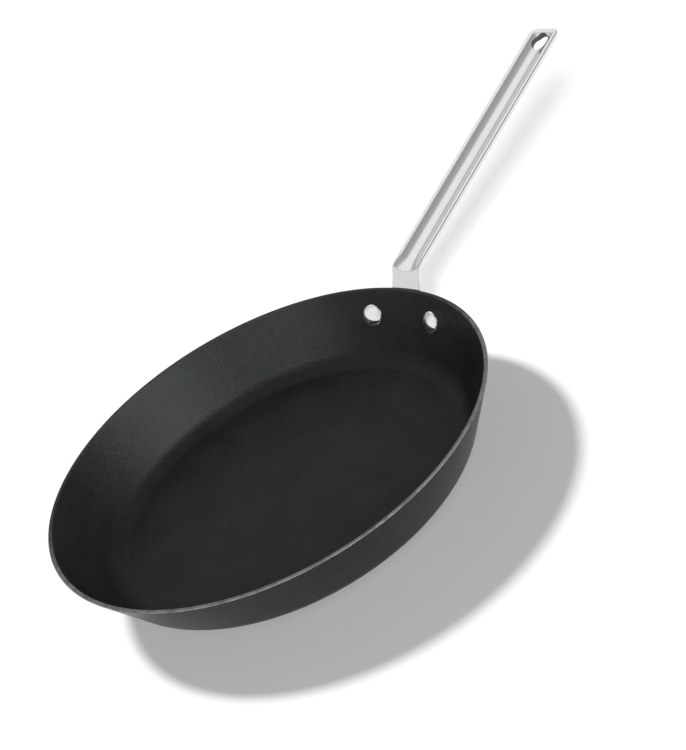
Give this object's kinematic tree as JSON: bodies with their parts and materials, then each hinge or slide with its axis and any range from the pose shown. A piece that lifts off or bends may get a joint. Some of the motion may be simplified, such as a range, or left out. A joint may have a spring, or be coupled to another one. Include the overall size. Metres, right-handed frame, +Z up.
{
  "type": "omelette pan",
  "caption": "Wide shallow omelette pan with a flat base, a straight flared wall, a dark hard finish and a riveted steel handle with a dished grip and a hang hole.",
  "frame": {"origin": "middle of the flat underside", "axes": "+X along the handle, away from the vessel; +Z up, square to the flat base"},
  "size_m": [0.5169, 0.3046, 0.1131],
  "materials": {
    "hard_coated_aluminium": "matte dark grey hard coat",
    "satin_steel": "satin polished",
    "polished_steel": "polished"
  },
  "bodies": {
    "root": {"vessel": "hard_coated_aluminium", "handle": "satin_steel", "rivet_left": "polished_steel", "rivet_right": "polished_steel"}
  },
  "joints": []
}
